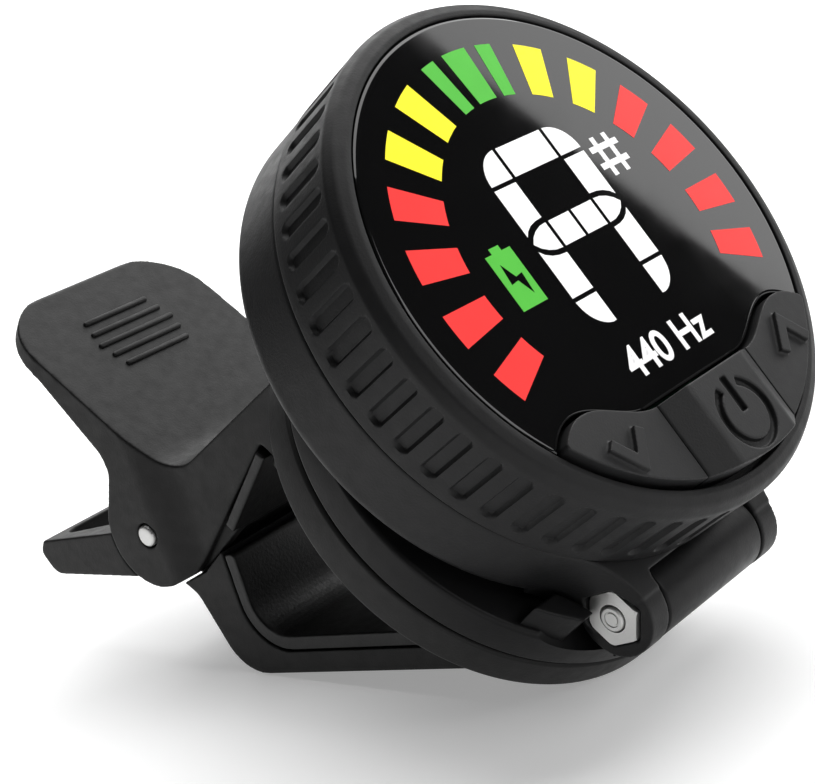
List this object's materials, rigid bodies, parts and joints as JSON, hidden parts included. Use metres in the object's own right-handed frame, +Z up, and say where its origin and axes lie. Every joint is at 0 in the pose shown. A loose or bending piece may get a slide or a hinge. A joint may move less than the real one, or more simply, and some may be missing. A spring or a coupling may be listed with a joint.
{
  "type": "clip-on instrument tuner",
  "caption": "Round display head on a friction hinge and swivel disc, on a sprung clip with padded jaws that grips the headstock of a stringed instrument.",
  "frame": {"origin": "bottom centre of the bounding box, on the table the tuner lies on, with the lower jaw's corner and the flange's edge touching it", "axes": "+Z up, +X from the finger levers to the display head, Y along the clip's pin and the head's hinge"},
  "size_m": [0.0747, 0.0436, 0.0523],
  "materials": {
    "shell": "fine matte moulded black",
    "clip": "fine matte moulded black",
    "barrel": "satin black",
    "keys": "smooth matte key rubber",
    "pad": "soft matte rubber",
    "lens": "polished smoked window over the lit dial",
    "display": "dark display panel with lit segments",
    "board": "green solder mask",
    "cell": "foil pouch",
    "brass_disc": "bare brass",
    "steel": "bright plated steel",
    "spring": "spring steel",
    "switch": "black switch bodies"
  },
  "bodies": {
    "lower_clip": {"lower_jaw": "clip", "lower_pad": "pad", "clip_pin": "steel", "torsion_spring": "spring"},
    "upper_clip": {"upper_jaw": "clip", "upper_pad": "pad", "swivel_screw": "steel", "swivel_nut": "steel"},
    "swivel": {"swivel_disc": "barrel"},
    "head": {"bezel": "shell", "rear_cover": "shell", "lens": "lens", "display_panel": "display", "circuit_board": "board", "battery": "cell", "vibration_sensor": "brass_disc", "charge_socket": "steel", "hinge_screw": "steel", "hinge_nut": "steel", "case_screw_1": "steel", "case_screw_2": "steel", "case_screw_3": "steel", "down_switch": "switch", "power_switch": "switch", "up_switch": "switch"},
    "down_button": {"down_key": "keys"},
    "power_button": {"power_key": "keys"},
    "up_button": {"up_key": "keys"}
  },
  "joints": [
    {"name": "jaw_open", "type": "hinge", "parent": "lower_clip", "child": "upper_clip", "pos_m": [-0.02086, 0, 0.0131], "axis": [0, -1, 0], "range_deg": [0, 40], "stiffness_Nm_per_rad": 0.12, "springref_deg": -34.38, "deforming": ["torsion_spring"]},
    {"name": "swivel", "type": "hinge", "parent": "upper_clip", "child": "swivel", "pos_m": [0.01253, 0, 0.01735], "axis": [0.8087, 0, 0.5882], "continuous": true},
    {"name": "head_tilt", "type": "hinge", "parent": "swivel", "child": "head", "pos_m": [0.02704, 0, 0.00811], "axis": [0, 1, 0], "range_deg": [-5, 95]},
    {"name": "down_press", "type": "slide", "parent": "head", "child": "down_button", "axis": [-0.8658, 0, -0.5004], "range_m": [0, 0.0004], "stiffness_N_per_m": 1500, "springref_m": -0.0002},
    {"name": "power_press", "type": "slide", "parent": "head", "child": "power_button", "axis": [-0.8658, 0, -0.5004], "range_m": [0, 0.0004], "stiffness_N_per_m": 1500, "springref_m": -0.0002},
    {"name": "up_press", "type": "slide", "parent": "head", "child": "up_button", "axis": [-0.8658, 0, -0.5004], "range_m": [0, 0.0004], "stiffness_N_per_m": 1500, "springref_m": -0.0002}
  ]
}
